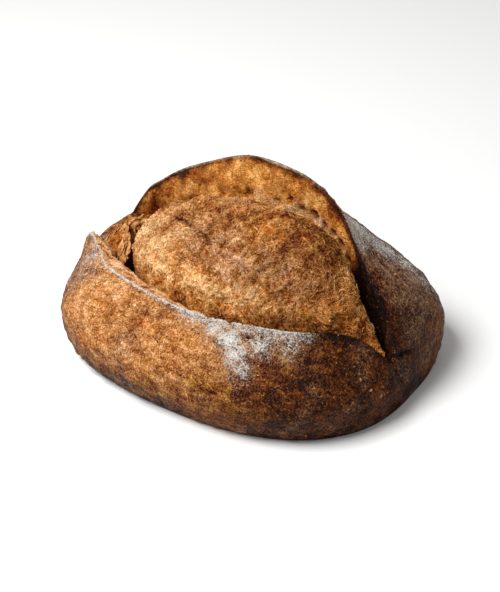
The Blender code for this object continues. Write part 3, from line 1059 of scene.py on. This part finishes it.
def build_mottle():
    """Grains of bran, soft blotches and torn threads, as patterns round 0; the Shade also paints light
    and shade on the bump.
    """
    group, inside, outside = new_group(
        "grain mottle", [("Place", VECTOR, (0, 0, 0)), ("Threads", FLOAT, 0.0)],
        [(name, FLOAT) for name in ("Shade", "Hue", "Specks", "Flecks", "Height")],
    )
    place, share = inside["Place"], inside["Threads"]
    drawn_out = vector_node(group, "MULTIPLY", place, (0.4, 1.0, 1.1))
    blotches = centred(group, noise_node(group, place, 105))
    lumps = centred(group, noise_node(group, drawn_out, 290, 1.0))
    grains = centred(group, noise_node(group, place, 600, 1.0, 0.8))
    dust = centred(group, noise_node(group, place, 1250, 0.0), 2.2)
    wide = threads(group, noise_node(group, place, 250, 1.5, 0.5, 1.6))
    thin = threads(group, noise_node(group, place, 480, 1.0, 0.5, 1.2))
    skin = weighted(group, (lumps, 0.32), (grains, 0.48), (dust, 0.44))
    torn = weighted(group, (wide, 0.36), (thin, 0.34), (grains, 0.32), (dust, 0.36))
    surface = weighted(group, (skin, math_node(group, "SUBTRACT", 1.0, share)), (torn, share))
    # the Shade follows the bump's Height, so raised grains are paler and low ones darker: partly the
    # grains' own tone, partly painted light
    plug(group, outside, "Shade", weighted(group, (surface, 1.0), (blotches, 0.30)))
    plug(group, outside, "Hue", centred(group, noise_node(group, place, 190, 2.0, 0.6, 0.5)))
    plug(group, outside, "Height", surface)
    cells = add_node(group, "TexVoronoi", {"Vector": place, "Scale": SPECK_SCALE})
    near = map_range(group, cells["Distance"], 0.15, 0.42, 1.0, 0.0)
    channels = add_node(group, "SeparateColor", {0: cells["Color"]})
    for channel, (label, rarest) in zip(channels, RAREST):
        chosen = map_range(group, channel, rarest, rarest + 0.05)
        plug(group, outside, label, math_node(group, "MULTIPLY", near, chosen))
    return group


MOTTLE = build_mottle()
print("node group:", MOTTLE.name)

# %% A shift of tone
DISPLAY_GAMMA = 2.2
DARKEST = (0.10, 0.05, 0.02)  # no tone goes below this deep brown
TONE_REACH = 4.5  # in a channel as weak as 1 part in this many, the shift starts to fade


def build_tone():
    """Lightens or darkens by the same amount in red, green and blue, as the eye sees it."""
    inputs = [("Color", COLOUR, (0.5, 0.5, 0.5)), ("Shift", FLOAT, 0.0)]
    group, inside, outside = new_group("tone shift", inputs, [("Color", COLOUR)])
    seen = add_node(group, "Gamma", {"Color": inside["Color"], "Gamma": 1 / DISPLAY_GAMMA})[0]
    limit = vector_node(group, "MULTIPLY", seen, (TONE_REACH,) * 3)
    limit = vector_node(group, "MINIMUM", limit, WHITE)
    step = vector_node(group, "MULTIPLY", limit, inside["Shift"])
    moved = vector_node(group, "ADD", seen, step)
    kept = vector_node(group, "MAXIMUM", moved, DARKEST)
    back = add_node(group, "Gamma", {"Color": kept, "Gamma": DISPLAY_GAMMA})[0]
    plug(group, outside, "Color", back)
    return group


TONE = build_tone()
print("node group:", TONE.name)

# %% A dust of flour
def build_dust():
    """Breaks a soft amount of flour up into grains and bare spots."""
    inputs = [("Place", VECTOR, (0, 0, 0)), ("Amount", FLOAT, 0.0)]
    group, inside, outside = new_group("flour dust", inputs, [("Mask", FLOAT)])
    place, amount = inside["Place"], inside["Amount"]
    grains = noise_node(group, place, 950, 2.0, 0.8)
    blotches = noise_node(group, place, 260, 3.0, 0.6)
    pattern = weighted(group, (grains, 0.66), (blotches, 0.34))
    limit = map_range(group, amount, 0.0, 1.0, 0.70, 0.44)
    mask = map_range(group, math_node(group, "SUBTRACT", pattern, limit), -0.10, 0.13)
    some = map_range(group, amount, 0.03, 0.12)
    plug(group, outside, "Mask", math_node(group, "MULTIPLY", mask, some))
    return group


DUST = build_dust()
print("node group:", DUST.name)

# %% [markdown]
# ## The finishes of the crust, the ear's face and the torn dough
# All three read the carried values. The outer crust is a little glossy and has
# red-brown bran in it. The ear's face is a deeper orange, and the torn dough is matt,
# paler and rougher.

# %% A baked finish
RUST_TINT = (1.0, 0.66, 0.45)  # both tints multiply the baked colour
HONEY_TINT = (1.14, 1.07, 0.62)
SPECK_TONE, FLECK_TONE = 0.12, -0.13  # pale grains and dark bran
FLOUR_WHITE = (0.64, 0.65, 0.61)


def carried_value(tree, name):
    return add_node(tree, "Attribute", {}, attribute_name=name)["Fac"]


def warm_patches(tree, colour, place):
    """Rusty and honey-coloured streaks, as the sugars in the dough gather and bake."""
    drawn_out = vector_node(tree, "MULTIPLY", place, (0.4, 1.0, 1.2))
    for scale, warp, tint in ((120, 0.0, RUST_TINT), (90, 0.3, HONEY_TINT)):
        streaks = noise_node(tree, drawn_out, scale, 3.0, 0.6, warp)
        share = map_range(tree, streaks, 0.50, 0.72, 0.0, 0.6)
        tinted = mix_colours(tree, share, WHITE, tint)
        colour = mix_colours(tree, 1.0, colour, tinted, "MULTIPLY")
    return colour


def baked_finish(name, colours, veil_colour, wandering, contrast, pit_depth, thready, bump, rough, shine):
    """A material whose colour follows the mesh's values of baking, flour, veil and pit; pit is painted
    shade.
    """
    material = bpy.data.materials.new(name)
    material.use_nodes = True
    tree = material.node_tree
    shader = tree.nodes["Principled BSDF"]
    bake, flour, pit, veil = [carried_value(tree, value) for value in CARRIED]
    place = add_node(tree, "TexCoord", {})["Object"]
    mottle = add_node(tree, "Group", {"Place": place, "Threads": thready}, node_tree=MOTTLE)
    unbaked = math_node(tree, "SUBTRACT", 1.0, bake)
    wander = math_node(tree, "MULTIPLY", mottle["Hue"], unbaked)
    sources = {"Bake": weighted(tree, (bake, 1.0), (wander, wandering)), **dict(zip(TONES, colours))}
    colour = add_node(tree, "Group", sources, node_tree=BAKING)["Color"]
    dull = math_node(tree, "MULTIPLY_ADD", mottle["Hue"], -0.4, 0.8)
    dull = math_node(tree, "MULTIPLY", dull, veil, clamped=True)
    colour = mix_colours(tree, dull, warm_patches(tree, colour, place), veil_colour)
    # painted shade from the pit value, with pale grains and dark bran
    shift = weighted(tree, (mottle["Shade"], contrast), (pit, -pit_depth),
                     (mottle["Specks"], SPECK_TONE), (mottle["Flecks"], FLECK_TONE))
    colour = add_node(tree, "Group", {"Color": colour, "Shift": shift}, node_tree=TONE)["Color"]
    dust = add_node(tree, "Group", {"Place": place, "Amount": flour}, node_tree=DUST)["Mask"]
    height = math_node(tree, "MULTIPLY_ADD", dust, 0.5, mottle["Height"])
    relief = add_node(tree, "Bump", {"Strength": 1.0, "Distance": bump, "Height": height})[0]
    plug(tree, shader, "Base Color", mix_colours(tree, dust, colour, FLOUR_WHITE))
    plug(tree, shader, "Normal", relief)
    plug(tree, shader, "Roughness", rough)
    plug(tree, shader, "Specular IOR Level", shine)
    return material


# %% The three finishes
CRUST_FINISH = baked_finish(
    "baked crust",
    [(0.60, 0.372, 0.198), (0.39, 0.162, 0.044), (0.125, 0.034, 0.0046), (0.018, 0.0043, 0.0013)],
    veil_colour=(0.26, 0.160, 0.100), wandering=0.14, contrast=0.25, pit_depth=0.09,
    thready=0.25, bump=0.26 * MM, rough=0.55, shine=0.08,
)
WALL_FINISH = baked_finish(
    "ear wall",
    [(0.78, 0.44, 0.15), (0.55, 0.232, 0.044), (0.25, 0.058, 0.007), (0.034, 0.010, 0.0035)],
    veil_colour=(0.36, 0.24, 0.145), wandering=0.30, contrast=0.20, pit_depth=0.14,
    thready=0.7, bump=0.25 * MM, rough=0.8, shine=0.1,
)
DOUGH_FINISH = baked_finish(
    "torn dough",
    [(0.68, 0.41, 0.185), (0.44, 0.185, 0.048), (0.185, 0.063, 0.010), (0.026, 0.009, 0.0034)],
    veil_colour=(0.36, 0.195, 0.105), wandering=0.17, contrast=0.23, pit_depth=0.26,
    thready=0.9, bump=0.32 * MM, rough=0.8, shine=0.1,
)
print("finishes:", CRUST_FINISH.name, WALL_FINISH.name, DOUGH_FINISH.name)

# %% Set the three large pieces
torn = {index for index, (x, zone, share) in enumerate(crust_places)
        if is_torn(x, zone) and (zone, share) != ("wall", 0)}
strip = {index for index in torn if crust_places[index][1] == "lip"}
for face in crust_mesh.faces:
    corners = {vertex.index for vertex in face.verts}
    face.material_index = 2 if corners & strip else int(bool(corners & torn))
crust = make_piece("crust", crust_mesh, [CRUST_FINISH, WALL_FINISH, DOUGH_FINISH])
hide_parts("loaf")
bloom = make_piece("bloom", bloom_mesh, [DOUGH_FINISH])
make_piece("torn_leaves", leaves_mesh, [DOUGH_FINISH])

# %% [markdown]
# ## Loose bits
# A real crust carries bran, crumbs, clumps of flour and torn threads of dough. Each is
# far too small for the solid, so each kind is one piece here: a small closed ball that
# is stretched, bent and set on a random point of its host. The same seed gives the
# same loaf every time.

# %% One bit on a host's surface
random = Random(11)


def unit_bit(segments, rings):
    """The points and faces of a unit sphere that lies along X."""
    bm = long_sphere(segments, rings)
    points = [vertex.co.copy() for vertex in bm.verts]
    faces = [[vertex.index for vertex in face.verts] for face in bm.faces]
    bm.free()
    return points, faces


def stood_on(vertex, spin, lift=0.0):
    """A placement with its Z along the vertex's normal, turned by spin about it."""
    normal = vertex.normal.copy()
    turn = normal.to_track_quat("Z", "Y").to_matrix() @ Matrix.Rotation(spin, 3, "Z")
    return Matrix.Translation(vertex.co + normal * lift) @ turn.to_4x4()


def add_bit(target, shape, place, size, curl, values):
    """Adds one bent bit of that size to the target bmesh."""
    points, faces = shape
    made = []
    for x, y, z in points:
        bend = curl * (1 - x * x)
        local = Vector((x * size[0], y * size[1] + bend, z * size[2] + 0.3 * bend))
        made.append(target.verts.new(place @ (local / 2)))
        store(target, made[-1], **values)
    for face in faces:
        target.faces.new([made[i] for i in face])


# %% Many bits on a host's surface
def host_value(host, name, vertex):
    return host.data.attributes[name].data[vertex.index].value


def pick_spots(host, count, chance):
    """Random vertices of a host, each kept with the chance that its rule gives."""
    vertices, found = host.data.vertices, []
    while len(found) < count:
        vertex = vertices[random.randrange(len(vertices))]
        if random.random() < chance(vertex):
            found.append(vertex)
    return found


def scatter(host, count, chance, shape, rule):
    """A bmesh of many bits of one shape, each placed, sized, bent and baked by the rule."""
    bits = carry(bmesh.new())
    for vertex in pick_spots(host, count, chance):
        add_bit(bits, shape, *rule(vertex))
    return bits


# %% Torn threads of dough
def on_bloom(vertex):
    return 1.0 if vertex.normal.z > 0.1 and vertex.co.z > 55 * MM else 0.0


def thread(vertex):
    """A curled thread, mostly paler than the bloom under it."""
    length = random.uniform(2.0, 6.0) * MM
    size = (length, random.uniform(0.4, 0.7) * MM, random.uniform(0.4, 0.6) * MM)
    bake = host_value(bloom, "bake", vertex) + random.uniform(-0.32, 0.08)
    values = {"bake": bake, "pit": 0.1, "veil": 0.5 * host_value(bloom, "veil", vertex)}
    curl = random.uniform(-0.5, 0.5) * length
    return stood_on(vertex, random.uniform(0, 2 * pi)), size, curl, values


threads_mesh = scatter(bloom, 1200, on_bloom, unit_bit(5, 7), thread)
make_piece("torn_threads", threads_mesh, [DOUGH_FINISH])

# %% Flakes of bran
PALE_SHARE = 0.55
LARGEST_FLAKES = [  # in millimetres, all pale and of the same size
    (113.5, -29, 30), (117, -23, 24), (108, -31, 37), (-17, -81, 45.5), (20, -70, 53),
    (-80, -70, 36),
]
LARGEST_SIZE = Vector((2.6, 1.5, 0.4)) * MM


def on_crust(vertex):
    return 1.0 if vertex.co.z > 2 * MM and vertex.normal.z > -0.5 else 0.0


def flake(vertex):
    """A flake of bran that is either paler or darker than the crust under it."""
    size = (random.uniform(0.8, 2.0) * MM, random.uniform(0.6, 1.3) * MM, 0.25 * MM)
    pale = random.random() < PALE_SHARE
    bake = host_value(crust, "bake", vertex) + (-random.uniform(0.15, 0.4) if pale else 0.25)
    place = stood_on(vertex, random.uniform(0, 2 * pi), 0.05 * MM)
    return place, size, random.uniform(-0.3, 0.3) * MM, {"bake": bake, "flour": 0.12 if pale else 0.0}


flakes_mesh = scatter(crust, 1100, on_crust, unit_bit(7, 5), flake)
for spot in LARGEST_FLAKES:
    place = Vector(spot) * MM
    nearest = min(crust.data.vertices, key=lambda vertex: (vertex.co - place).length_squared)
    turned_place = stood_on(nearest, spot[0])
    look = {"bake": 0.45, "flour": 0.3}
    add_bit(flakes_mesh, unit_bit(9, 7), turned_place, LARGEST_SIZE, 0.5 * MM, look)
make_piece("bran_flakes", flakes_mesh, [CRUST_FINISH])

# %% Clumps of flour
def on_flour(vertex):
    return smooth_step(host_value(crust, "flour", vertex), 0.2, 0.9) if vertex.co.z > 5 * MM else 0.0


def clump(vertex):
    width = random.uniform(0.4, 1.1) * MM
    size = (width, width * random.uniform(0.6, 1.0), 0.6 * width)
    return stood_on(vertex, random.uniform(0, 2 * pi)), size, 0.0, {"bake": 0.1, "flour": 1.0}


clumps_mesh = scatter(crust, 700, on_flour, unit_bit(5, 4), clump)
make_piece("flour_clumps", clumps_mesh, [CRUST_FINISH])

# %% [markdown]
# ## Floor, light and camera
# The loaf lies on a plain pale floor. One large soft light stands to its left, as a
# window would, and a pale sky fills the shadows.

# %% Floor
def make_floor():
    bm = bmesh.new()
    bmesh.ops.create_grid(bm, x_segments=1, y_segments=1, size=6)
    material = bpy.data.materials.new("pale floor")
    material.use_nodes = True
    shader = material.node_tree.nodes["Principled BSDF"]
    plug(material.node_tree, shader, "Base Color", (0.86, 0.86, 0.85))
    plug(material.node_tree, shader, "Roughness", 0.9)
    return new_object("floor", bm, [material])


floor = make_floor()
print("the floor is", round(floor.dimensions.x), "m wide")

# %% Lights
LIT_PLACE = Vector((0, 0, 50 * MM))  # the middle of the loaf
SKY_STRENGTH = 0.37


def direction(azimuth, elevation):
    """Unit vector towards a place seen at that azimuth and elevation, in degrees."""
    a, e = radians(azimuth), radians(elevation)
    return Vector((sin(a) * cos(e), -cos(a) * cos(e), sin(e)))


def add_light(name, azimuth, elevation, distance, size, power):
    """A square soft light that looks at the middle of the loaf."""
    data = bpy.data.lights.new(name, "AREA")
    data.size = size
    data.energy = power
    light = bpy.data.objects.new(name, data)
    towards = direction(azimuth, elevation)
    light.location = LIT_PLACE + towards * distance
    light.rotation_euler = towards.to_track_quat("Z", "Y").to_euler()
    bpy.context.scene.collection.objects.link(light)
    return light


add_light("window", azimuth=-34, elevation=60, distance=1.3, size=0.7, power=24)
world = bpy.data.worlds.new("pale sky")
bpy.context.scene.world = world
world.use_nodes = True
world.node_tree.nodes["Background"].inputs["Color"].default_value = (1, 1, 1, 1)
world.node_tree.nodes["Background"].inputs["Strength"].default_value = SKY_STRENGTH
print("one window and a sky of strength", SKY_STRENGTH)

# %% Camera
CAMERA_AZIMUTH = 35
CAMERA_ELEVATION = 34
CAMERA_DISTANCE = 0.905
CAMERA_ROLL = -2
CAMERA_TARGET = Vector((0, 16.95 * MM, 45 * MM))
LENS, SENSOR_WIDTH = 85, 36  # in millimetres
PICTURE_WIDTH, PICTURE_HEIGHT = 500, 592
LOAF_MIDDLE = (254, 277)  # the pixel that the camera's axis passes through

camera_data = bpy.data.cameras.new("camera")
camera_data.lens = LENS
camera_data.sensor_width = SENSOR_WIDTH
camera_data.shift_x = (PICTURE_WIDTH / 2 - LOAF_MIDDLE[0]) / PICTURE_HEIGHT
camera_data.shift_y = (LOAF_MIDDLE[1] - PICTURE_HEIGHT / 2) / PICTURE_HEIGHT
camera = bpy.data.objects.new("camera", camera_data)
bpy.context.scene.collection.objects.link(camera)
back = direction(CAMERA_AZIMUTH, CAMERA_ELEVATION)
right = UP.cross(back).normalized()
upright = Matrix((right, back.cross(right), back)).transposed()
turned = Matrix.Rotation(radians(CAMERA_ROLL), 3, back) @ upright
camera.matrix_world = Matrix.Translation(CAMERA_TARGET + back * CAMERA_DISTANCE) @ turned.to_4x4()
bpy.context.scene.camera = camera
print("the camera stands at", [round(place, 2) for place in camera.matrix_world.translation], "m")
bpy.context.scene.view_settings.view_transform = "Standard"
